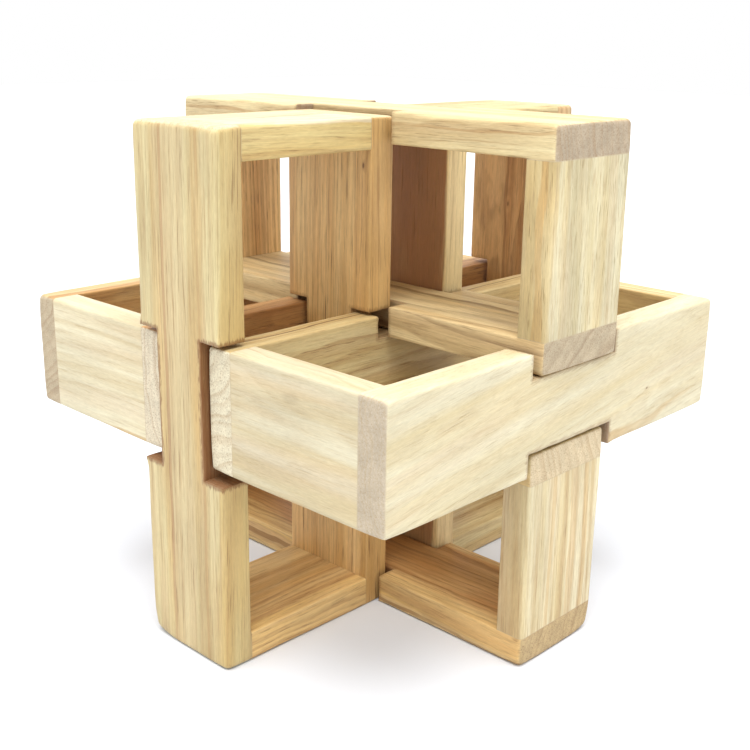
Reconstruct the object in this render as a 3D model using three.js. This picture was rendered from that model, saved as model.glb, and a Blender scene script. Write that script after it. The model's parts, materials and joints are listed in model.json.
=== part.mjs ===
// A wooden burr puzzle made of six interlocking open frames.
//
// Each frame is a shallow box without its two large faces, glued up from four
// boards: two long ones, which run the full length and cap the two short ones.
// The frames stand in three crossing pairs, one pair along each axis. Every long
// board is notched on both edges at mid-length, where the neighbouring pair passes.
//
// Units are millimetres, +Z is up, and the origin is the centre of the underside.

import * as THREE from 'three';

// Driving dimensions.
const FRAME_LENGTH = 100;      // end to end of a long board
const FRAME_DEPTH = 43;        // outer face to inner face of one frame
const BOARD_WIDTH = 23.1;      // every board, across its grain
const BOARD_THICKNESS = 6;
const PAIR_GAP = 15;           // between the inner faces of the two frames of a pair
const SIDE_PLAY = 0.5;         // between a notch floor and the board that passes it
const LOOSE_SIDE_PLAY = 1.05;  // the same in the upright frames, which fit loosely
const END_PLAY = 1.4;          // between a notch shoulder and the board that passes it
const EDGE_RADIUS = 0.8;       // sanded arrises
const ROUNDING_STEPS = 3;

// Sizes that follow from them.
const HALF_LENGTH = FRAME_LENGTH / 2;
const HALF_WIDTH = BOARD_WIDTH / 2;
const INNER_FACE = PAIR_GAP / 2;
const OUTER_FACE = INNER_FACE + FRAME_DEPTH;
const SHORT_BOARD_LENGTH = FRAME_DEPTH - 2 * BOARD_THICKNESS;
const NOTCH_HALF_LENGTH = HALF_WIDTH + END_PLAY;

// The stiles of the upright frames stand on the ground beside the bottom frame.
const UPRIGHT_DROP = OUTER_FACE - HALF_LENGTH;

const X = new THREE.Vector3(1, 0, 0);
const Y = new THREE.Vector3(0, 1, 0);
const Z = new THREE.Vector3(0, 0, 1);

// One entry for each frame: the way its long boards run, the way it faces out of
// the puzzle, the name of each board, its play, and how far it has slid within that.
const FRAMES = [
  {
    name: 'upright_left', along: Z, out: X.clone().negate(), ends: ['bottom_rail', 'top_rail'],
    long: 'stile', play: LOOSE_SIDE_PLAY, settled: [-0.9, 0.1, -UPRIGHT_DROP], color: 0xd9bf8c,
  },
  {
    name: 'upright_right', along: Z, out: X, ends: ['bottom_rail', 'top_rail'],
    long: 'stile', play: LOOSE_SIDE_PLAY, settled: [0.05, 0, -UPRIGHT_DROP], color: 0xd2b47e,
  },
  {
    name: 'level_front', along: X, out: Y.clone().negate(), ends: ['left_end', 'right_end'],
    long: 'rail', play: SIDE_PLAY, settled: [-0.05, 0.75, 0.2], color: 0xdcc493,
  },
  {
    name: 'level_back', along: X, out: Y, ends: ['left_end', 'right_end'],
    long: 'rail', play: SIDE_PLAY, settled: [0.1, 0, -0.2], color: 0xcfae78,
  },
  {
    name: 'cross_bottom', along: Y, out: Z.clone().negate(), ends: ['front_end', 'back_end'],
    long: 'rail', play: SIDE_PLAY, settled: [0.05, 0.7, 0], color: 0xc9a66e,
  },
  {
    name: 'cross_top', along: Y, out: Z, ends: ['front_end', 'back_end'],
    long: 'rail', play: SIDE_PLAY, settled: [0.2, -0.5, 0], color: 0xe0ca9b,
  },
];

// Outline of a long board, centred: its ends, with both notches cut at mid-length.
function longBoardOutline(waistHalfWidth) {
  const shape = new THREE.Shape();
  const quarter = [
    [HALF_LENGTH, HALF_WIDTH],
    [NOTCH_HALF_LENGTH, HALF_WIDTH],
    [NOTCH_HALF_LENGTH, waistHalfWidth],
  ];
  const upper = [...quarter, ...quarter.map(([x, y]) => [-x, y]).reverse()];
  const lower = upper.map(([x, y]) => [-x, -y]);
  const points = [...upper, ...lower].map(([x, y]) => new THREE.Vector2(x, y));
  shape.setFromPoints(points);
  return shape;
}

// A long board lies in the XY plane, with its thickness along Z and eased arrises.
function longBoard(play) {
  const geometry = new THREE.ExtrudeGeometry(longBoardOutline(INNER_FACE - play), {
    depth: BOARD_THICKNESS - 2 * EDGE_RADIUS,
    bevelEnabled: true,
    bevelThickness: EDGE_RADIUS,
    bevelSize: EDGE_RADIUS,
    bevelOffset: -EDGE_RADIUS,
    bevelSegments: ROUNDING_STEPS,
  });
  return geometry.translate(0, 0, EDGE_RADIUS - BOARD_THICKNESS / 2);
}

// Rounded section of a short board, centred.
function shortBoardSection() {
  const halfThickness = BOARD_THICKNESS / 2;
  const flatWidth = HALF_WIDTH - EDGE_RADIUS;
  const flatThickness = halfThickness - EDGE_RADIUS;
  const shape = new THREE.Shape();
  const corners = [[1, 1, 0], [-1, 1, 1], [-1, -1, 2], [1, -1, 3]];
  for (const [side, face, turn] of corners) {
    const start = turn * Math.PI / 2;
    shape.absarc(side * flatWidth, face * flatThickness, EDGE_RADIUS, start, start + Math.PI / 2);
  }
  return shape;
}

// A short board runs along Z between the two long ones. Its ends stay square,
// because they are glued flat against the long boards.
function shortBoard() {
  const geometry = new THREE.ExtrudeGeometry(shortBoardSection(), {
    depth: SHORT_BOARD_LENGTH,
    bevelEnabled: false,
    curveSegments: ROUNDING_STEPS,
  });
  return geometry.translate(0, 0, -SHORT_BOARD_LENGTH / 2);
}

function board(name, geometry, color) {
  const material = new THREE.MeshStandardMaterial({ color, roughness: 0.65, metalness: 0 });
  const mesh = new THREE.Mesh(geometry, material);
  mesh.name = name;
  return mesh;
}

// Axes of the frame's own group: the long boards run along x, their edges face
// along y, and z points out of the puzzle.
function frameTurn(along, out) {
  const across = new THREE.Vector3().crossVectors(out, along);
  return new THREE.Matrix4().makeBasis(along, across, out);
}

function frameOfBoards({ name, along, out, ends, long, play, settled, color }) {
  const frame = new THREE.Group();

  const outer = board(`${name}_outer_${long}`, longBoard(play), color);
  outer.position.z = OUTER_FACE - BOARD_THICKNESS / 2;
  const inner = board(`${name}_inner_${long}`, longBoard(play), color);
  inner.position.z = INNER_FACE + BOARD_THICKNESS / 2;
  frame.add(outer, inner);

  ends.forEach((end, index) => {
    const side = index === 0 ? -1 : 1;
    const short = board(`${name}_${end}`, shortBoard(), color);
    short.rotation.z = Math.PI / 2;
    short.position.x = side * (HALF_LENGTH - BOARD_THICKNESS / 2);
    short.position.z = INNER_FACE + FRAME_DEPTH / 2;
    frame.add(short);
  });

  frame.applyMatrix4(frameTurn(along, out));
  frame.position.set(...settled);
  return frame;
}

const puzzle = new THREE.Group();
puzzle.position.z = OUTER_FACE;
for (const entry of FRAMES) {
  puzzle.add(frameOfBoards(entry));
}

export default puzzle;
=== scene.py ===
"""A wooden burr puzzle: six open frames of four boards each, on a pale floor.

Every board is rebuilt here as a sanded plank with worn arrises, and gets a wood
material that is cut from its own piece of log, so that face, edge and end grain
of a board belong together. The boards' lengths are millimetres until MM turns them
to metres.
"""

import json
import math
import random

import bpy
import numpy as np
from mathutils import Matrix, Vector, noise


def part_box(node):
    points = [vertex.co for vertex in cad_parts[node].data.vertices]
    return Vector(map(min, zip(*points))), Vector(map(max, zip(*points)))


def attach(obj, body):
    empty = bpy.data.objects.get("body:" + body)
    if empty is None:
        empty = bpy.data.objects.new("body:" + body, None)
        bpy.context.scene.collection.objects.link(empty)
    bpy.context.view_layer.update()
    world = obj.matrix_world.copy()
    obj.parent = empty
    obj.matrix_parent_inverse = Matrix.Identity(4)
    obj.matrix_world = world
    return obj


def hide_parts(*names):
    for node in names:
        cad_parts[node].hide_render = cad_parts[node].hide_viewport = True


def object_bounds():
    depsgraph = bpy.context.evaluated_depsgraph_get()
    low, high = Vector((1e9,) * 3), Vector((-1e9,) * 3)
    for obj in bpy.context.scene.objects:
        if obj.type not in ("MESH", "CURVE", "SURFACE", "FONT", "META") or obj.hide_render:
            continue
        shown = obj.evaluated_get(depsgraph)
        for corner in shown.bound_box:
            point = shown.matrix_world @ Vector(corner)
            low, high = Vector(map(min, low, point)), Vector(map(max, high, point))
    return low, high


MM = 0.001

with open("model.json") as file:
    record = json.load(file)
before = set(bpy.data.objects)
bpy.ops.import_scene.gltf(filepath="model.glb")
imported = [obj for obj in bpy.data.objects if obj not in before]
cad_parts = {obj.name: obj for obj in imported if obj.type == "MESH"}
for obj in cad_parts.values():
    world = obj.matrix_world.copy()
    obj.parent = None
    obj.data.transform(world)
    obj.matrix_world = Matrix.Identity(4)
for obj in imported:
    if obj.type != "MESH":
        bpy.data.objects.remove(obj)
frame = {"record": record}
cad_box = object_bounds()

# ---------------------------------------------------------------- driving sizes

NOTCH_HALF_LENGTH = 12.95        # from mid-length of a long board to its notch shoulders
WAIST_HALF_WIDTH = 7.0           # half of what the notches leave of a long board's width
UPRIGHT_WAIST_HALF_WIDTH = 6.45
BOARD_THICKNESS = 6.0
LONG_BOARD_AT_LEAST = 90.0       # a board that is longer than this has notches

# Radii of the edges.
INNER_ARRIS = 0.4        # sanded, on the side of a frame that faces the middle
WINDOW_ARRIS = 0.35      # facing into a frame's window
NOTCH_ARRIS = 0.2        # left by the saw
JOINT_ARRIS = 0.02       # glued against another board
CORNER_EXTRA = 0.35      # added where three outer edges meet
CORNER_SPREAD = 10.0     # how far that reaches, in square mm
WORN_SPREAD = 12.0       # the same for the worn corners
ROUNDEST = 0.95          # no radius is more than this share of half the board's size

# How the radii vary.
UNEVEN = 0.3             # by which share, along a sanded edge
RAGGED = 2.4             # the same along an edge left by the saw
SANDING_WAVE = 0.11      # one over the length of the variation on the outside, in mm
WINDOW_WAVE = 0.09       # the same in a window
SAW_WAVE = (0.5, 1.7, 1.1)       # the same for the saw's edges, along each of a board's axes
SAW_WAVE_SHIFT = 31.0    # keeps the last two from having the same noise
SANDED_DEPTH = (0.1, 0.8)        # share of a frame's depth over which the sanding fades in
JOINT_FADE = 0.8         # length over which an edge closes up towards a glued joint
FACE_BLEND = 1.0         # half the width over which the inner face's edges turn to the outer's
SAW_FADE = (0.3, 2.5)    # past a notch shoulder, where its ragged edges turn to sanded ones
END_PART = 5.0           # length over which a notch's edges turn to those of the board's end

TORN_REACH = 1.8         # how far torn fibres reach from a notch
GLUE_REACH = 0.25        # width of the tint beside a glue line
FLAT_STEP = 2.3          # mesh spacing on the flat of a board
ON_SURFACE = 0.01        # how near a vertex is to a face that it lies on
TINY = 1e-9              # keeps a vertex at mid-length on one side of it
ROUNDING_ERROR = 1e-6

# sanded edges on the side of each frame that faces out of the puzzle
OUTER_ARRIS = {
    "upright_left": 1.0, "upright_right": 0.8, "level_front": 0.65,
    "level_back": 0.7, "cross_bottom": 0.85, "cross_top": 0.65,
}

# corners worn much rounder than the rest: the sides of the frame that they are on,
# from -1 to 1 along X, Y and Z, and the extra radius
WORN_CORNERS = {
    "upright_left": ((-1, 1, -1), 0.8), "cross_bottom": ((1, -1, -1), 1.3),
}

NOISE_SPACING = np.array([7.3, 3.1, 5.7])    # between the noise of one board and the next
LOG_SPACING = 137.0      # between the places of two boards in their logs
SHARP_ANGLE = 50         # degrees between two faces whose edge isn't shaded smooth
END_GRAIN_TILT = (0.45, 0.85)    # share of a face's normal that is along the grain, over
                                 # which long grain turns to end grain

# distances from an edge at which the mesh has lines, so that arrises are round
EDGE_LINES = (0.0, 0.18, 0.4, 0.68, 1.05, 1.7, 2.5)


def grid_lines(low, high):
    """Positions from low to high, close together beside the edges."""
    middle = (low + high) / 2
    lines = {low, high}
    for gap in EDGE_LINES:
        if low + gap < middle:
            lines.add(low + gap)
        if high - gap > middle:
            lines.add(high - gap)
    lines = sorted(lines)
    filled = []
    for start, end in zip(lines, lines[1:]):
        steps = max(1, math.ceil((end - start) / FLAT_STEP - ROUNDING_ERROR))
        filled += [start + (end - start) * i / steps for i in range(steps)]
    return np.array(filled + [high])


def joined_lines(*stops):
    """Grid lines through several stops, with edge spacing at each of them."""
    parts = [grid_lines(a, b) for a, b in zip(stops, stops[1:])]
    return np.unique(np.round(np.concatenate(parts), 5))


def plank_grid(size, waist):
    """Vertices and quads of a plank's surface, as a sharp-edged grid."""
    half_length, half_width, half_thickness = size
    if waist:
        us = joined_lines(-half_length, -NOTCH_HALF_LENGTH, NOTCH_HALF_LENGTH, half_length)
        vs = joined_lines(-half_width, -waist, waist, half_width)
    else:
        us = grid_lines(-half_length, half_length)
        vs = grid_lines(-half_width, half_width)
    ws = grid_lines(-half_thickness, half_thickness)
    middles = [(line[1:] + line[:-1]) / 2 for line in (us, vs, ws)]
    solid = np.ones([len(m) for m in middles], bool)
    if waist:
        at_notch = np.abs(middles[0])[:, None, None] < NOTCH_HALF_LENGTH
        past_waist = np.abs(middles[1])[None, :, None] > waist
        solid &= ~(at_notch & past_waist)
    return surface_of_cells(solid, us, vs, ws)


def surface_of_cells(solid, us, vs, ws):
    """The quads between full and empty cells, and the vertices that they use."""
    padded = np.pad(solid, 1)
    shape = (len(us), len(vs), len(ws))
    quads = []
    for axis in range(3):
        before = np.take(padded, range(0, solid.shape[axis] + 1), axis)
        after = np.take(padded, range(1, solid.shape[axis] + 2), axis)
        trim = [slice(1, -1)] * 3
        trim[axis] = slice(None)
        before, after = before[tuple(trim)], after[tuple(trim)]
        a, b = (axis + 1) % 3, (axis + 2) % 3
        for faces, outward in ((before & ~after, True), (after & ~before, False)):
            corner = np.argwhere(faces)
            ring = [(0, 0), (1, 0), (1, 1), (0, 1)] if outward else [(0, 0), (0, 1), (1, 1), (1, 0)]
            quad = []
            for da, db in ring:
                index = corner.copy()
                index[:, a] += da
                index[:, b] += db
                quad.append(np.ravel_multi_index(index.T, shape))
            quads.append(np.stack(quad, 1))
    quads = np.concatenate(quads)
    used, quads = np.unique(quads, return_inverse=True)
    i, j, k = np.unravel_index(used, shape)
    return np.stack([us[i], vs[j], ws[k]], 1), quads.reshape(-1, 4)


def smooth_step(x, start, end):
    """Smooth change from 0 to 1 as x goes from start to end."""
    t = np.clip((x - start) / (end - start), 0, 1)
    return t * t * (3 - 2 * t)


def noise_at(points, scale, offset):
    """Smooth noise, about -1 to 1, at each point."""
    moved = points * scale + offset
    return np.array([noise.noise(Vector(p)) for p in moved])


def falloff(place, point, spread):
    """1 at a point, fading with the distance from it."""
    return np.exp(-((place - point) ** 2).sum(1) / spread)


def sanded_radius(place, body, box):
    """Radius that the outside of a glued frame is sanded to, for each place on it."""
    low, high, outward = box
    axis = int(np.argmax(np.abs(outward)))
    depth = (place[:, axis] - low[axis]) / (high[axis] - low[axis])
    if outward[axis] < 0:
        depth = 1 - depth
    sanded = smooth_step(depth, *SANDED_DEPTH)
    radius = INNER_ARRIS + (OUTER_ARRIS[body] - INNER_ARRIS) * sanded
    from_side = np.minimum(place - low, high - place)
    radius = radius + CORNER_EXTRA * falloff(from_side, 0, CORNER_SPREAD)
    if body in WORN_CORNERS:
        side, extra = WORN_CORNERS[body]
        worn = np.where(np.array(side) > 0, high, low)
        radius = radius + extra * falloff(place, worn, WORN_SPREAD)
    return radius * (1 + UNEVEN * noise_at(place, SANDING_WAVE, low))


def arris_radii(p, size, waist, outer, offset):
    """How far each vertex's edges are rounded, along the board's three axes."""
    u, w = np.abs(p[:, 0]), p[:, 2]
    half_length = size[0]
    joint_start = half_length - BOARD_THICKNESS
    outside = smooth_step(w, -FACE_BLEND, FACE_BLEND)
    window = WINDOW_ARRIS * (1 + UNEVEN * noise_at(p, WINDOW_WAVE, offset))
    if not waist:
        face = window + (outer - window) * outside
        return np.stack([np.full_like(face, JOINT_ARRIS), face, face], 1)
    at_joint = smooth_step(u, joint_start - JOINT_FADE, joint_start)
    inside = window + (JOINT_ARRIS - window) * at_joint
    face = inside + (outer - inside) * outside
    side = window + (outer - window) * np.maximum(outside, at_joint)
    ragged = np.abs(noise_at(p, SAW_WAVE, offset + SAW_WAVE_SHIFT))
    notch = NOTCH_ARRIS * (1 + RAGGED * ragged)
    fade_start, fade_end = SAW_FADE
    away = smooth_step(u, NOTCH_HALF_LENGTH + fade_start, NOTCH_HALF_LENGTH + fade_end)
    at_end = smooth_step(u, half_length / 2, half_length / 2 + END_PART)
    return np.stack(
        [notch + (outer - notch) * at_end,
         notch + (side - notch) * away,
         notch + (face - notch) * away], 1)


def soften(p, size, waist, radii):
    """Moves each vertex of the sharp grid onto its rounded edge."""
    half = np.array(size)
    radii = np.minimum(radii, half * ROUNDEST)
    blocks = [(half, 0.0)]
    if waist:
        blocks = [(np.array([size[0], waist, size[2]]), 0.0), (half, NOTCH_HALF_LENGTH)]
    best = np.full(len(p), np.inf)
    moved = p.copy()
    for far, near in blocks:
        high = far - radii
        q = np.clip(p, -high, high)
        if near:
            along = np.maximum(np.abs(p[:, 0]), near + radii[:, 0])
            q[:, 0] = np.sign(p[:, 0] + TINY) * np.minimum(along, high[:, 0])
        at_joint = radii < 2 * JOINT_ARRIS
        scaled = np.where(at_joint, 0.0, (p - q) / radii)
        reach = np.maximum(np.linalg.norm(scaled, axis=1), 1.0)
        closer = reach < best
        best = np.where(closer, reach, best)
        rounded = q + np.where(at_joint, p - q, scaled * radii / reach[:, None])
        moved[closer] = rounded[closer]
    return moved


# ------------------------------------------------------------ wood of each board

# Colours are sRGB, 0 to 255. Lengths are mm. pith: where the heart of the tree lies
# in the board's cross-section, so (0, 60) is flat-sawn and (60, 0) quarter-sawn.
# slope: how the grain runs out across the width and the thickness. wander and ripple:
# how far great and small waves push the grain. spacing: between the rings. vessel and
# fibre: one over the length of a pore and of a fibre. knots: place along and across the
# board, and radius. streaks_and_painted_light: bands along the grain, most of them the
# wood's own and some of them painted shade and painted light: place across the width and
# the thickness, half extents, colour and strength. scorch_and_painted_shade: how brown the
# notches are, partly scorched by the saw and partly painted shade. A look holds only
# what differs from its base.
PLAIN = dict(
    light=(208, 191, 142), mid=(190, 165, 115), ring=(156, 118, 72), pore=(126, 92, 56),
    gold=(196, 156, 88), end=(178, 162, 134), spacing=2.0, ring_strength=0.35,
    pore_strength=0.6, fibre_strength=0.5, gold_share=0.4, wander=2.5, ripple=0.5,
    pith=(50, 20), slope=(0.01, 0.02), mottle=0.6, vessel=0.18, fibre=0.06, scorch_and_painted_shade=0.3,
    knots=(), knot_strength=0.75, streaks_and_painted_light=(),
)
PALE = dict(
    PLAIN, light=(212, 203, 172), mid=(198, 184, 148), ring=(174, 149, 108),
    pore=(158, 132, 92), gold=(198, 172, 114), end=(180, 166, 144), ring_strength=0.3,
    gold_share=0.3,
)
WARM = dict(
    PLAIN, light=(222, 192, 136), mid=(202, 163, 106), ring=(148, 102, 58), pore=(106, 70, 40),
    gold=(204, 154, 86), end=(186, 158, 118), ring_strength=0.45,
)

LOOKS = {
    "upright_left_outer_stile": dict(
        PLAIN, light=(200, 185, 138), mid=(184, 161, 113), pith=(70, 22), spacing=2.4,
        # painted shade: the notches are browned strongly here, standing in for the deep shade in
        # the lower notch
        ring_strength=0.2, wander=1.4, ripple=0.3, end=(206, 194, 158), scorch_and_painted_shade=0.9,
        vessel=0.09, fibre=0.03, pore_strength=0.75,
        streaks_and_painted_light=((0, 3, 3.5, 3, (196, 176, 134), 0.6), (-11.5, -1, 3, 4, (190, 162, 98), 0.55),
                 (3.4, 3, 0.5, 2, (162, 122, 80), 0.6), (-6.5, 3, 0.4, 2, (168, 130, 80), 0.5)),
    ),
    "upright_left_inner_stile": dict(
        WARM, light=(234, 200, 138), mid=(214, 172, 110), pith=(60, 12), spacing=1.3,
        ring_strength=0.3, wander=1.0, ripple=0.2, pore_strength=0.85, vessel=0.1,
        fibre=0.03, knots=((41, -9.5, 0.3),), end=(214, 194, 152),
        streaks_and_painted_light=((-11.5, 0, 2.5, 5, (190, 150, 90), 0.75),),
    ),
    "upright_left_top_rail": dict(
        PLAIN, light=(210, 191, 134), mid=(194, 166, 106), pith=(6, 34), spacing=1.7,
        wander=3.5, gold_share=0.8,
        streaks_and_painted_light=((0, 3.4, 30, 1.3, (214, 206, 178), 0.8),),
    ),
    "upright_left_bottom_rail": dict(
        WARM, pith=(14, 30), spacing=1.3, ring_strength=0.5, wander=4.0, ripple=1.0,
        mottle=0.8, streaks_and_painted_light=((-11, 0, 3, 4, (210, 174, 104), 0.5),),
    ),
    "upright_right_outer_stile": dict(
        WARM, light=(226, 186, 130), mid=(204, 156, 100), pith=(9, 26), spacing=1.5,
        ring_strength=0.75, wander=3.5, ripple=1.5, knots=((27, 1, 0.3),),
        knot_strength=0.55, end=(206, 188, 150), scorch_and_painted_shade=0.1,
        streaks_and_painted_light=((7, -3, 5, 2, (236, 196, 136), 0.6), (0, 3.4, 30, 2, (212, 190, 144), 0.75),
                 (-11.5, 0, 2, 5, (206, 184, 140), 0.7),
                 (-4, -3, 1.3, 2, (142, 88, 50), 0.6),
                 (-7.6, -3, 0.6, 2, (142, 88, 50), 0.6), (1.5, -3, 0.4, 2, (142, 88, 50), 0.5)),
    ),
    "upright_right_inner_stile": dict(
        PLAIN, light=(226, 206, 158), mid=(210, 184, 134), pith=(60, 8), spacing=1.2,
        ring_strength=0.3, wander=1.0, ripple=0.1, pore_strength=0.8, vessel=0.09, fibre=0.03,
        # painted shade: the wide dark brown streak covers the board, for the shade on its face
        # inside the puzzle; painted light: the cream streak makes the lit front edge paler
        streaks_and_painted_light=((4.5, 0, 19, 30, (158, 110, 72), 0.95), (-12, 0, 1.2, 30, (238, 214, 158), 0.95)),
    ),
    "level_front_left_end": dict(
        PALE, light=(202, 193, 164), mid=(190, 176, 141), pith=(3, 22), fibre_strength=0.3,
        wander=6.0, ripple=1.4, pore_strength=0.3, knots=((0, 7, 1.2),), knot_strength=0.15,
        # painted shade: the golden-brown streak darkens the bottom arris, which faces down into
        # shade
        streaks_and_painted_light=((-12, 3, 1.1, 3, (186, 152, 100), 0.7),),
    ),
    "level_front_outer_rail": dict(
        PALE, mid=(204, 192, 156), pith=(10, 40), slope=(-0.14, 0.03), spacing=1.0,
        ring_strength=0.25, fibre_strength=0.3, fibre=0.1, pore_strength=0.35, mottle=0.4,
        wander=6.0, ripple=1.4, knots=((26, -3, 0.2),),
        # painted shade: the golden-brown streak darkens the bottom face and its arrises, which face
        # down into shade
        streaks_and_painted_light=((-12, 0, 1.6, 5, (192, 160, 108), 0.7),),
    ),
    "level_front_inner_rail": dict(
        PLAIN, pith=(26, 14), spacing=2.2, ring_strength=0.5, wander=5.0, ripple=0.9,
        end=(210, 200, 172), streaks_and_painted_light=((10.5, 0.5, 3, 0.3, (98, 62, 34), 0.8),),
    ),
    "level_back_outer_rail": dict(
        PLAIN, ring=(128, 88, 50), pith=(30, 30), spacing=1.6, wander=5.0, ripple=1.2,
        # painted shade: the brown streak darkens the whole face that looks into the frame's window,
        # inside the puzzle
        streaks_and_painted_light=((0, -3, 30, 2.2, (180, 130, 74), 0.8),),
    ),
    "level_back_left_end": dict(
        PALE, pith=(40, 20), wander=4.0, fibre_strength=0.35, pore_strength=0.3,
        # painted shade: the golden-brown streak darkens the bottom arris, which faces down into
        # shade
        streaks_and_painted_light=((-12, 3, 1.1, 3, (186, 152, 100), 0.7),),
    ),
    "level_back_inner_rail": dict(
        WARM, light=(204, 158, 104), mid=(180, 130, 80), pith=(8, 30), spacing=1.9, wander=6.0,
        ripple=1.0, ring_strength=0.3, end=(206, 194, 168),
    ),
    "cross_bottom_front_end": dict(
        PALE, light=(215, 206, 172), mid=(200, 182, 138), ring=(160, 122, 74), pith=(70, 10),
        spacing=2.9, ring_strength=0.5, wander=2.4, fibre_strength=0.6,
        # painted shade and light: the first streak darkens most of the -X edge face and leaves a
        # paler strip by the front corner, standing in for the lit arris
        streaks_and_painted_light=((-11.5, -1.5, 2, 3.2, (176, 144, 94), 0.6), (3, 3, 1, 3, (192, 156, 102), 0.5),
                 (-4, 3, 0.6, 3, (196, 162, 108), 0.5), (7, 3, 0.7, 3, (192, 158, 104), 0.5)),
    ),
    "cross_bottom_outer_rail": dict(
        WARM, light=(210, 180, 124), mid=(192, 154, 98), ring=(134, 94, 50), pith=(30, 9),
        spacing=1.6, ring_strength=0.65, wander=3.5, ripple=1.2, end=(182, 158, 116),
        # painted shade: the first streak darkens the top face, which lies in shade inside the
        # puzzle
        streaks_and_painted_light=((2, -3, 10, 2.5, (172, 115, 62), 0.65), (-11, 0.8, 3, 0.5, (142, 100, 52), 0.75),
                 (-11, -0.9, 3, 0.3, (216, 180, 110), 0.7)),
    ),
    "cross_bottom_inner_rail": dict(PLAIN, end=(200, 182, 148)),
    "cross_top_outer_rail": dict(
        PLAIN, light=(224, 208, 162), mid=(212, 190, 140), pith=(36, 12), spacing=1.6,
        wander=4.0, ripple=1.0, end=(170, 154, 130), scorch_and_painted_shade=0.1, pore_strength=0.5,
        streaks_and_painted_light=((-11, 0.7, 3, 0.3, (178, 138, 88), 0.5),),
    ),
    "cross_top_front_end": dict(
        PALE, light=(206, 197, 163), mid=(190, 176, 134), pore=(142, 118, 74), pith=(5, 60),
        spacing=3.0, ring_strength=0.15, pore_strength=1.0, mottle=1.2, wander=3.0, ripple=1.6,
        gold_share=0.4, vessel=0.24, fibre=0.14, fibre_strength=0.8,
        streaks_and_painted_light=((-11.5, -1, 2, 6, (188, 159, 98), 0.7), (-11.5, 0.6, 2, 1.0, (184, 138, 72), 0.5)),
    ),
    "cross_top_inner_rail": dict(
        PLAIN, light=(220, 198, 150), mid=(206, 178, 128), ring=(116, 82, 48), pith=(20, 40),
        spacing=2.5, ring_strength=0.65, wander=4.0, ripple=0.9,
    ),
    "cross_top_back_end": dict(
        WARM, light=(240, 206, 148), mid=(222, 178, 120), pith=(60, 12), spacing=1.2,
        ring_strength=0.6, wander=1.2, ripple=0.2, pore_strength=0.8,
    ),
}

# Patterns of noise in the wood. First comes one over the size of a blotch along, across
# and through the grain, then levels of detail and roughness where they matter.
GREAT_WAVES = (0.013, 0.045, 0.045)
SMALL_WAVES = (0.07, 0.2, 0.2)
UNEVEN_YEARS = ((0.37, 0.37, 0.37), 2.0)
BANDS = ((0.008, 0.28, 0.28), 3.0, 0.6)
WARMTH = ((0.012, 0.2, 0.2), 2.0, 0.5)
MOTTLE = ((0.04, 0.13, 0.13), 2.0, 0.5)
SPECKLE = ((0.6, 5.0, 5.0), 2.0, 0.6)
RAGGED_STREAK = ((0.04, 0.8, 0.8), 3.0, 0.6)
BROKEN_STREAK = ((0.03, 0.05, 0.05), 2.0)
END_DOTS = ((0.05, 3.6, 3.6), 3.0, 0.65)
END_CLOUDS = ((0.05, 0.3, 0.3), 3.0, 0.6)
SAW_MARKS = ((0.15, 0.15, 4.0), 2.0, 0.6)
SPLINTERS = ((0.5, 3.0, 3.0), 2.0, 0.6)
RELIEF = ((0.05, 3.0, 3.0), 2.0, 0.6)
FIBRE_ACROSS = 2.0       # one over the width of a fibre
FIBRE_DETAIL = (4.0, 0.68)
VESSEL_ACROSS = 3.2      # one over the width of a pore
VESSEL_DETAIL = (2.0, 0.55)

# The values of a pattern, the places in a ring or the distances from a mark's middle
# over which each mark fades in or out.
MOST_NOISE = (0.3, 0.7)  # nearly all the values of a pattern
BAND_EDGE = (0.35, 0.68)
GOLD_EDGE = (0.48, 0.7)
ROSY_EDGE = (0.5, 0.68)
DARK_FIBRE_EDGE = (0.5, 0.72)
PALE_FIBRE_EDGE = (0.46, 0.3)
PORE_EDGE = (0.56, 0.7)
DOT_EDGE = (0.52, 0.68)
PALE_DOT_EDGE = (0.46, 0.3)
FRINGE_EDGE = (0.45, 0.9)
RING_RISE = (0.0, 0.12)
RING_FALL = (0.16, 0.75)
STREAK_EDGE = (1.55, 1.2)
STREAK_GAP_EDGE = (0.34, 0.52)
KNOT_HALO_EDGE = (2.6, 0.6)
KNOT_HEART_EDGE = (1.2, 0.4)
KNOT_SWELL_EDGE = (0.0, 5.0)

# Sizes and strengths of the marks.
UNEVEN_RINGS = 2.2       # how far the rings wander from even spacing, in rings
PALEST_RING = 0.35       # strength of the palest ring beside the darkest
KNOT_SWELL = 0.8         # how far a knot pushes the rings aside, in rings
KNOT_STRETCH = 2.0       # how much longer a knot is along the grain than across it
KNOT_HALO_SHARE = 0.5    # strength of a knot's halo beside its heart
STREAK_RAGGED = 0.8      # how ragged the sides of a streak are, in half extents
STREAK_GAP = 0.6         # strength of a streak where it fades
ROSY_SHARE = 0.18
PALE_FIBRE_GAIN = 0.2    # how much brighter the palest fibres are than the rest
SPECKLE_DEPTH = 0.36     # how much the specks and the clouds vary the brightness
CLOUD_DEPTH = 0.11
PALE_WOOD_PORES = 0.35   # strength of the pores between the rings
END_BRIGHTNESS = (0.92, 1.08)
END_RING_SHARE = 0.3
END_DOT_SHARE = 0.5
PALE_DOT_GAIN = 1.2
SPLINTER_DEPTH = 0.8     # how ragged the fringe of torn fibres is
FRINGE_SHARE = 0.15      # strength of that fringe, and what full scorch and painted shade add to it
SCORCH_AND_SHADE_FRINGE = 0.6
PALE_SCORCH_AND_SHADE = 0.5        # strength of the scorch and painted shade between the saw's marks
GLUE_SHARE = 0.06
ROUGHNESS = 0.5
ROUGHER = 0.2            # added in pores, and on end grain and sawn faces
SHINE = 0.4

# Height of the bump in mm, its strength, and its parts as shares of the height.
BUMP_HEIGHT = 0.07
BUMP_STRENGTH = 0.7
PORE_BUMP = -1.0
RING_BUMP = -0.3
RELIEF_BUMP = 0.6
SAW_BUMP = 2.0

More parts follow.
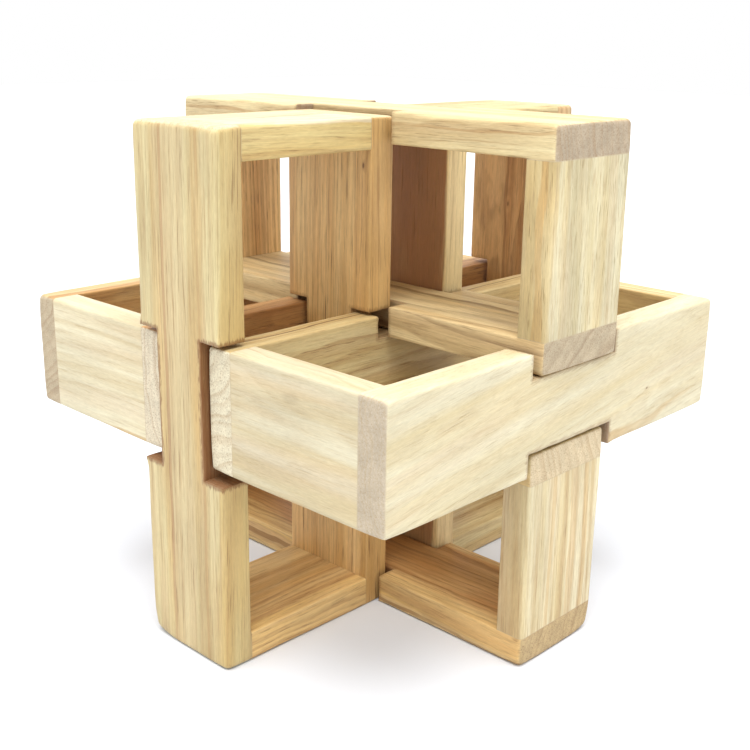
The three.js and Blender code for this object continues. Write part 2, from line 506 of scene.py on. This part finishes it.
KNOT_HEART = (92, 60, 38)
ROSY = (200, 168, 136)
# brown of scorched and torn fibre, also used as painted shade in the notches
TORN_FIBRE_AND_SHADE = (118, 72, 34)
GLUE_LINE = (118, 84, 50)


def linear(color):
    """Linear light for an sRGB colour from 0 to 255."""
    return tuple(((c / 255 + 0.055) / 1.055) ** 2.4 for c in color)


class Nodes:
    """Short ways to add and link shader nodes. A call returns the new node's output."""

    def __init__(self, tree):
        self.tree = tree

    def add(self, kind, inputs=(), output=0, **settings):
        """Links inputs that are sockets and sets the others. output=None returns none."""
        node = self.tree.nodes.new(kind)
        for key, value in settings.items():
            setattr(node, key, value)
        for key, value in dict(inputs).items():
            if isinstance(value, bpy.types.NodeSocket):
                self.tree.links.new(value, node.inputs[key])
            else:
                node.inputs[key].default_value = value
        return None if output is None else node.outputs[output]

    def attribute(self, name, output):
        return self.add("ShaderNodeAttribute", output=output, attribute_name=name)

    def math(self, operation, a, b=0.0, c=0.0):
        return self.add("ShaderNodeMath", {0: a, 1: b, 2: c}, operation=operation)

    def times(self, a, b):
        return self.math("MULTIPLY", a, b)

    def plus(self, a, b):
        return self.math("ADD", a, b)

    def vector(self, operation, a, b=(0, 0, 0), output=0):
        return self.add("ShaderNodeVectorMath", {0: a, 1: b}, output, operation=operation)

    def noise(self, place, scale, detail=2.0, rough=0.5, output=0):
        stretched = self.vector("MULTIPLY", place, scale)
        inputs = {"Vector": stretched, "Scale": 1.0, "Detail": detail, "Roughness": rough}
        return self.add("ShaderNodeTexNoise", inputs, output)

    def scale(self, color, factor):
        """A colour made brighter or darker by a factor that varies."""
        if not isinstance(color, bpy.types.NodeSocket):
            color = linear(color)
        inputs = {0: color, "Scale": factor}
        return self.add("ShaderNodeVectorMath", inputs, operation="SCALE")

    def step(self, value, start, end, low=0.0, high=1.0):
        """Smooth change from low to high as value goes from start to end."""
        inputs = {"Value": value, "From Min": start, "From Max": end, "To Min": low, "To Max": high}
        return self.add("ShaderNodeMapRange", inputs, interpolation_type="SMOOTHSTEP")

    def mix(self, share, a, b):
        """Colour a where share is 0, colour b where it is 1."""
        node = self.tree.nodes.new("ShaderNodeMix")
        node.data_type = "RGBA"
        for index, value in ((0, share), (6, a), (7, b)):
            if isinstance(value, bpy.types.NodeSocket):
                self.tree.links.new(value, node.inputs[index])
            elif index == 0:
                node.inputs[index].default_value = value
            else:
                node.inputs[index].default_value = (*linear(value), 1.0)
        return node.outputs[2]


def bend(n, log, scale, amount):
    """A smooth sideways push of the grain, by up to about amount."""
    push = n.noise(log, scale, 2.0, 0.5, output=1)
    push = n.vector("SUBTRACT", push, (0.5, 0.5, 0.5))
    return n.vector("MULTIPLY", push, (0.0, amount * 2, amount * 2))


def knot_distances(n, log, knots):
    """Distance from each knot, in knot radii, shorter along the grain."""
    for along, across, radius in knots:
        offset = n.vector("SUBTRACT", log, (along, across, 0.0))
        scale = (1.0 / (KNOT_STRETCH * radius), 1.0 / radius, 0.0)
        scaled = n.vector("MULTIPLY", offset, scale)
        yield n.vector("LENGTH", scaled, output=1)


def wavy_grain(n, log, look):
    """Where each point lies in the log once the waves of the grain are straightened."""
    bent = n.vector("ADD", log, bend(n, log, GREAT_WAVES, look["wander"]))
    return n.vector("ADD", bent, bend(n, log, SMALL_WAVES, look["ripple"]))


def growth_rings(n, bent, look, distances):
    """Darkness of the latewood, from 0 to 1, in rings round the heart of the log."""
    across = n.vector("MULTIPLY", bent, (0.0, 1.0, 1.0))
    radius = n.vector("LENGTH", across, output=1)
    for distance in distances:
        swell = n.step(distance, *KNOT_SWELL_EDGE, look["spacing"] * KNOT_SWELL, 0.0)
        radius = n.plus(radius, swell)
    count = n.math("DIVIDE", radius, look["spacing"])
    uneven = n.noise(n.add("ShaderNodeCombineXYZ", {0: count}), *UNEVEN_YEARS)
    count = n.plus(count, n.times(uneven, UNEVEN_RINGS))
    place_in_ring = n.math("FRACT", count)
    rise = n.step(place_in_ring, *RING_RISE)
    fall = n.step(place_in_ring, *RING_FALL, 1.0, 0.0)
    year = n.add("ShaderNodeTexWhiteNoise", {"W": n.math("FLOOR", count)}, noise_dimensions="1D")
    return n.times(n.times(rise, fall), n.step(year, 0.0, 1.0, PALEST_RING, 1.0))


def streak_share(n, bent, across, deep, half_across, half_deep, ragged):
    """Up to 1 inside a streak that runs along the grain, and 0 outside it. Most streaks are mineral
    streaks in the wood; some are bands of painted shade and painted light.
    """
    offset = n.vector("SUBTRACT", bent, (0.0, across, deep))
    scaled = n.vector("MULTIPLY", offset, (0.0, 1 / half_across, 1 / half_deep))
    distance = n.vector("LENGTH", scaled, output=1)
    share = n.step(n.math("MULTIPLY_ADD", ragged, STREAK_RAGGED, distance), *STREAK_EDGE)
    fading = n.noise(bent, *BROKEN_STREAK)
    return n.times(share, n.step(fading, *STREAK_GAP_EDGE, STREAK_GAP, 1.0))


def face_color(n, log, bent, look, ring, pores):
    """Colour of wood that is cut along the grain."""
    bands = n.noise(log, *BANDS)
    fibres = n.noise(log, (look["fibre"], FIBRE_ACROSS, FIBRE_ACROSS), *FIBRE_DETAIL)
    specks = n.noise(log, *SPECKLE)
    mottle = n.noise(log, *MOTTLE)
    warmth = n.noise(log, *WARMTH, output=1)

    color = n.mix(n.step(bands, *BAND_EDGE), look["light"], look["mid"])
    golden = n.add("ShaderNodeSeparateColor", {0: warmth}, 1)
    color = n.mix(n.step(golden, *GOLD_EDGE, 0.0, look["gold_share"]), color, look["gold"])
    rosy = n.add("ShaderNodeSeparateColor", {0: warmth}, 2)
    color = n.mix(n.step(rosy, *ROSY_EDGE, 0.0, ROSY_SHARE), color, ROSY)
    ragged = n.noise(log, *RAGGED_STREAK)
    # some looks' streaks are painted shade and painted light, mixed in like the wood's own streaks
    for *place, streak_color, strength in look["streaks_and_painted_light"]:
        share = n.times(streak_share(n, bent, *place, ragged), strength)
        color = n.mix(share, color, streak_color)
    color = n.mix(n.times(ring, look["ring_strength"]), color, look["ring"])
    dark_fibre = n.step(fibres, *DARK_FIBRE_EDGE, 0.0, look["fibre_strength"])
    color = n.mix(dark_fibre, color, look["ring"])
    brightest = 1.0 + PALE_FIBRE_GAIN * look["fibre_strength"]
    pale_fibre = n.step(fibres, *PALE_FIBRE_EDGE, 1.0, brightest)
    depth = CLOUD_DEPTH * look["mottle"]
    cloud = n.step(mottle, *MOST_NOISE, depth, -depth)
    speckle = n.math("MULTIPLY_ADD", specks, SPECKLE_DEPTH, -SPECKLE_DEPTH / 2)
    shade = n.plus(pale_fibre, n.plus(cloud, speckle))
    color = n.scale(color, shade)
    return n.mix(n.times(pores, look["pore_strength"]), color, look["pore"])


def end_color(n, log, look, ring):
    """Colour of wood that is cut across the grain, with the vessels as dots."""
    dots = n.noise(log, *END_DOTS)
    clouds = n.noise(log, *END_CLOUDS)
    color = n.scale(look["end"], n.step(clouds, *MOST_NOISE, *END_BRIGHTNESS))
    color = n.mix(n.times(ring, END_RING_SHARE), color, look["ring"])
    color = n.mix(n.step(dots, *DOT_EDGE, 0.0, END_DOT_SHARE), color, look["pore"])
    return n.scale(color, n.step(dots, *PALE_DOT_EDGE, 1.0, PALE_DOT_GAIN))


def with_knots(n, color, look, distances):
    """The same colour with a dark heart and a softer halo at each knot."""
    strength = look["knot_strength"]
    for distance in distances:
        halo = n.step(distance, *KNOT_HALO_EDGE, 0.0, KNOT_HALO_SHARE * strength)
        color = n.mix(halo, color, look["ring"])
        heart = n.step(distance, *KNOT_HEART_EDGE, 0.0, strength)
        color = n.mix(heart, color, KNOT_HEART)
    return color


def with_saw_marks_and_shade(n, log, color, look, sawn, saw_marks):
    """The same colour, browner on the sawn faces, with torn fibres along their edges. The brown is
    partly the saw's scorch and partly painted shade in the notches.
    """
    # painted shade: the notch faces are browned partly to stand in for the shade inside the notches
    scorch_and_painted_shade = n.step(saw_marks, *MOST_NOISE, look["scorch_and_painted_shade"] * PALE_SCORCH_AND_SHADE, look["scorch_and_painted_shade"])
    color = n.mix(n.times(sawn, scorch_and_painted_shade), color, TORN_FIBRE_AND_SHADE)
    torn = n.attribute("torn", 2)
    splinters = n.noise(log, *SPLINTERS)
    ragged = n.math("MULTIPLY_ADD", splinters, 2 * SPLINTER_DEPTH, -SPLINTER_DEPTH)
    # the fringe darkens more with the notches' browning, so it is partly painted shade too
    fringe = n.step(n.plus(torn, ragged), *FRINGE_EDGE)
    strength = FRINGE_SHARE + SCORCH_AND_SHADE_FRINGE * look["scorch_and_painted_shade"]
    return n.mix(n.times(fringe, strength), color, TORN_FIBRE_AND_SHADE)


def wood_bump(n, log, pores, ring, sawn, saw_marks):
    """Open pores, sunken latewood, fine relief of the grain and the marks of the saw."""
    height = n.times(pores, PORE_BUMP)
    height = n.math("MULTIPLY_ADD", ring, RING_BUMP, height)
    height = n.math("MULTIPLY_ADD", n.noise(log, *RELIEF), RELIEF_BUMP, height)
    height = n.math("MULTIPLY_ADD", n.times(saw_marks, sawn), SAW_BUMP, height)
    inputs = {"Strength": BUMP_STRENGTH, "Distance": BUMP_HEIGHT * MM, "Height": height}
    return n.add("ShaderNodeBump", inputs)


def wood_material(name, look):
    """Wood of one board, from where each point lies in the log and how it is cut."""
    material = bpy.data.materials.new(name)
    material.use_nodes = True
    tree = material.node_tree
    tree.nodes.clear()
    n = Nodes(tree)
    log = n.attribute("log", 1)
    end_grain = n.attribute("end_grain", 2)
    sawn = n.attribute("sawn", 2)
    glued = n.attribute("glued", 2)
    saw_marks = n.noise(log, *SAW_MARKS)

    distances = list(knot_distances(n, log, look["knots"]))
    bent = wavy_grain(n, log, look)
    ring = growth_rings(n, bent, look, distances)
    vessels = n.noise(log, (look["vessel"], VESSEL_ACROSS, VESSEL_ACROSS), *VESSEL_DETAIL)
    pores = n.step(vessels, *PORE_EDGE)
    in_rings = n.math("MULTIPLY_ADD", ring, 1 - PALE_WOOD_PORES, PALE_WOOD_PORES)
    pores = n.times(pores, in_rings)

    color = face_color(n, log, bent, look, ring, pores)
    color = with_knots(n, color, look, distances)
    color = n.mix(end_grain, color, end_color(n, log, look, ring))
    color = with_saw_marks_and_shade(n, log, color, look, sawn, saw_marks)
    color = n.mix(n.times(glued, GLUE_SHARE), color, GLUE_LINE)

    rough = n.math("MULTIPLY_ADD", pores, ROUGHER, ROUGHNESS)
    rough = n.math("MULTIPLY_ADD", n.math("MAXIMUM", end_grain, sawn), ROUGHER, rough)
    bump = wood_bump(n, log, pores, ring, sawn, saw_marks)

    inputs = {"Base Color": color, "Roughness": rough, "Normal": bump,
              "Specular IOR Level": SHINE}
    surface = n.add("ShaderNodeBsdfPrincipled", inputs)
    n.add("ShaderNodeOutputMaterial", {"Surface": surface}, None)
    return material


# ------------------------------------------------------------------- the boards

def frame_box(body):
    """Low and high corner of a frame's four boards, in mm, and the way it faces."""
    corners = [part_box(node) for node in frame["record"]["behaviour"]["bodies"][body]]
    low = np.min([c[0] for c in corners], axis=0) / MM
    high = np.max([c[1] for c in corners], axis=0) / MM
    middle = np.mean(cad_box, axis=0) / MM
    return low, high, (low + high) / 2 - middle


def notch_and_joint_masks(p, size, waist):
    """How sawn, torn or glued the surface is at each vertex, from 0 to 1. The material browns the
    sawn and torn parts, partly as painted shade.
    """
    u, v, w = np.abs(p[:, 0]), np.abs(p[:, 1]), p[:, 2]
    half_length, _, half_thickness = size
    if not waist:
        none = np.zeros(len(p))
        return none, none, smooth_step(u, half_length - GLUE_REACH, half_length)
    past_shoulder = u - NOTCH_HALF_LENGTH
    past_waist = waist - v
    in_notch = (past_shoulder <= ON_SURFACE) & (past_waist <= ON_SURFACE)
    from_notch = np.hypot(np.maximum(past_shoulder, 0), np.maximum(past_waist, 0))
    torn = smooth_step(-from_notch, -TORN_REACH, 0.0)
    joint_start = half_length - BOARD_THICKNESS
    at_joint = smooth_step(u, joint_start - 2 * GLUE_REACH, joint_start)
    glued = at_joint * smooth_step(-w, half_thickness - GLUE_REACH, half_thickness)
    return in_notch.astype(float), torn, glued


def varied_look(seed):
    """A wood for a board that has no look of its own above, the same for the same seed."""
    chance = random.Random(seed)
    base = chance.choice((PLAIN, PLAIN, WARM))
    angle = chance.uniform(0, math.pi)
    reach = chance.uniform(25, 60)
    return dict(base, pith=(reach * math.cos(angle), reach * math.sin(angle)),
                spacing=chance.uniform(1.3, 2.4), wander=chance.uniform(1.5, 5),
                ripple=chance.uniform(0.2, 1.0), ring_strength=chance.uniform(0.4, 0.7))


def board_axes(extent, outward):
    """Turn from the board's own axes, longest first, to the frame's. The third faces out."""
    thick, wide, long = np.argsort(extent)
    turn = np.zeros((3, 3))
    turn[long, 0] = 1
    turn[wide, 1] = 1
    turn[thick, 2] = outward
    return turn, long


def board_mesh(name, points, quads):
    """Smooth mesh of a board, with its glued and sawn edges sharp."""
    mesh = bpy.data.meshes.new(name)
    mesh.from_pydata(points.tolist(), [], quads.tolist())
    mesh.update()
    mesh.polygons.foreach_set("use_smooth", [True] * len(mesh.polygons))
    mesh.set_sharp_from_angle(angle=math.radians(SHARP_ANGLE))
    return mesh


def cut_from_log(mesh, points, look, seed):
    """Stores where each vertex lies in the log, and moves the look's marks along."""
    start = seed * LOG_SPACING
    pith_v, pith_w = look["pith"]
    slope_v, slope_w = look["slope"]
    log = points.copy()
    log[:, 0] += start
    log[:, 1] += points[:, 0] * slope_v - pith_v
    log[:, 2] += points[:, 0] * slope_w - pith_w
    store_vectors(mesh, "log", log)
    look["knots"] = [(u + start, v + u * slope_v - pith_v, size) for u, v, size in look["knots"]]
    look["streaks_and_painted_light"] = [(v - pith_v, w - pith_w, *rest) for v, w, *rest in look["streaks_and_painted_light"]]


def build_board(node, body, seed):
    """Rebuilds one CAD board as a sanded plank with its own wood."""
    low, high = (np.array(corner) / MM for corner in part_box(node))
    extent = high - low
    center = (low + high) / 2
    box = frame_box(body)
    thick = int(np.argmin(extent))
    outward = 1 if center[thick] > (box[0] + box[1])[thick] / 2 else -1
    turn, long = board_axes(extent, outward)
    size = np.sort(extent)[::-1] / 2
    waist = None
    if extent[long] > LONG_BOARD_AT_LEAST:
        waist = UPRIGHT_WAIST_HALF_WIDTH if body.startswith("upright") else WAIST_HALF_WIDTH

    sharp, quads = plank_grid(size, waist)
    outer = sanded_radius(sharp @ turn.T + center, body, box)
    radii = arris_radii(sharp, size, waist, outer, NOISE_SPACING * seed)
    points = soften(sharp, size, waist, radii)
    if np.linalg.det(turn) < 0:
        quads = quads[:, ::-1]
    mesh = board_mesh(node + "_board", (points @ turn.T + center) * MM, quads)

    look = dict(LOOKS.get(node) or varied_look(seed))
    cut_from_log(mesh, points, look, seed)
    normals = np.zeros(len(mesh.vertices) * 3)
    mesh.vertices.foreach_get("normal", normals)
    along = np.abs(normals.reshape(-1, 3)[:, long])
    store_values(mesh, "end_grain", smooth_step(along, *END_GRAIN_TILT))
    for name, values in zip(("sawn", "torn", "glued"), notch_and_joint_masks(sharp, size, waist)):
        store_values(mesh, name, values)

    board = bpy.data.objects.new(node + "_board", mesh)
    bpy.context.scene.collection.objects.link(board)
    mesh.materials.append(wood_material("wood_" + node, look))
    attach(board, body)
    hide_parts(node)


def store_vectors(mesh, name, values):
    """Keeps a vector for each vertex, for the material to read."""
    attribute = mesh.attributes.new(name, "FLOAT_VECTOR", "POINT")
    attribute.data.foreach_set("vector", values.astype(np.float32).ravel())


def store_values(mesh, name, values):
    """Keeps a number for each vertex, for the material to read."""
    attribute = mesh.attributes.new(name, "FLOAT", "POINT")
    attribute.data.foreach_set("value", values.astype(np.float32))


seed = 0
for body, nodes in frame["record"]["behaviour"]["bodies"].items():
    for node in nodes:
        seed += 1
        build_board(node, body, seed)


# --------------------------------------------------------- floor, light, camera

# In this section lengths are metres and angles degrees. Lens and sensor are in mm.
FLOOR_COLOR = (0.67, 0.69, 0.73, 1)
FLOOR_ROUGHNESS = 0.6
FLOOR_HALF_WIDTH = 2.0
LIGHT_ENERGY = 3.95
LIGHT_ANGLE = 50
LIGHT_FROM = Vector((-0.14, -0.14, 1.0))

CAMERA_AZIMUTH = -46.33
CAMERA_ELEVATION = 17.05
CAMERA_ROLL = 0.80
CAMERA_DISTANCE = 0.2380
CAMERA_LENS = 53.80
CAMERA_AIM = Vector((-1.44, -0.80, 45.3)) * MM
SENSOR_WIDTH = 36
NEAREST_SEEN = 0.01


def floor_material():
    """Matt and pale grey."""
    material = bpy.data.materials.new("studio_floor")
    material.use_nodes = True
    shader = material.node_tree.nodes["Principled BSDF"]
    shader.inputs["Base Color"].default_value = FLOOR_COLOR
    shader.inputs["Roughness"].default_value = FLOOR_ROUGHNESS
    return material


def add_floor():
    """A plain square under the puzzle."""
    side = FLOOR_HALF_WIDTH
    corners = [(-side, -side, 0), (side, -side, 0), (side, side, 0), (-side, side, 0)]
    mesh = bpy.data.meshes.new("studio_floor")
    mesh.from_pydata(corners, [], [(0, 1, 2, 3)])
    floor = bpy.data.objects.new("studio_floor", mesh)
    bpy.context.scene.collection.objects.link(floor)
    mesh.materials.append(floor_material())


def add_overhead_light():
    """A wide soft light from above, leaning a little to the front left."""
    light = bpy.data.lights.new("overhead", "SUN")
    light.energy = LIGHT_ENERGY
    light.angle = math.radians(LIGHT_ANGLE)
    lamp = bpy.data.objects.new("overhead", light)
    lamp.rotation_euler = LIGHT_FROM.to_track_quat("Z", "Y").to_euler()
    bpy.context.scene.collection.objects.link(lamp)


def add_world():
    """Even white light from all round."""
    world = bpy.data.worlds.new("studio_air")
    world.use_nodes = True
    background = world.node_tree.nodes["Background"]
    background.inputs["Color"].default_value = (1, 1, 1, 1)
    background.inputs["Strength"].default_value = 1.0
    bpy.context.scene.world = world


def add_camera():
    """Looks at the puzzle from above the left front corner."""
    azimuth = math.radians(CAMERA_AZIMUTH)
    elevation = math.radians(CAMERA_ELEVATION)
    back = Vector((math.sin(azimuth) * math.cos(elevation),
                   -math.cos(azimuth) * math.cos(elevation),
                   math.sin(elevation)))
    data = bpy.data.cameras.new("camera")
    data.lens = CAMERA_LENS
    data.sensor_width = SENSOR_WIDTH
    data.clip_start = NEAREST_SEEN
    camera = bpy.data.objects.new("camera", data)
    camera.location = CAMERA_AIM + back * CAMERA_DISTANCE
    roll = Matrix.Rotation(math.radians(CAMERA_ROLL), 3, "Z")
    camera.rotation_euler = (back.to_track_quat("Z", "Y").to_matrix() @ roll).to_euler()
    bpy.context.scene.collection.objects.link(camera)
    bpy.context.scene.camera = camera


add_floor()
add_world()
add_overhead_light()
add_camera()
bpy.context.scene.view_settings.view_transform = "Standard"
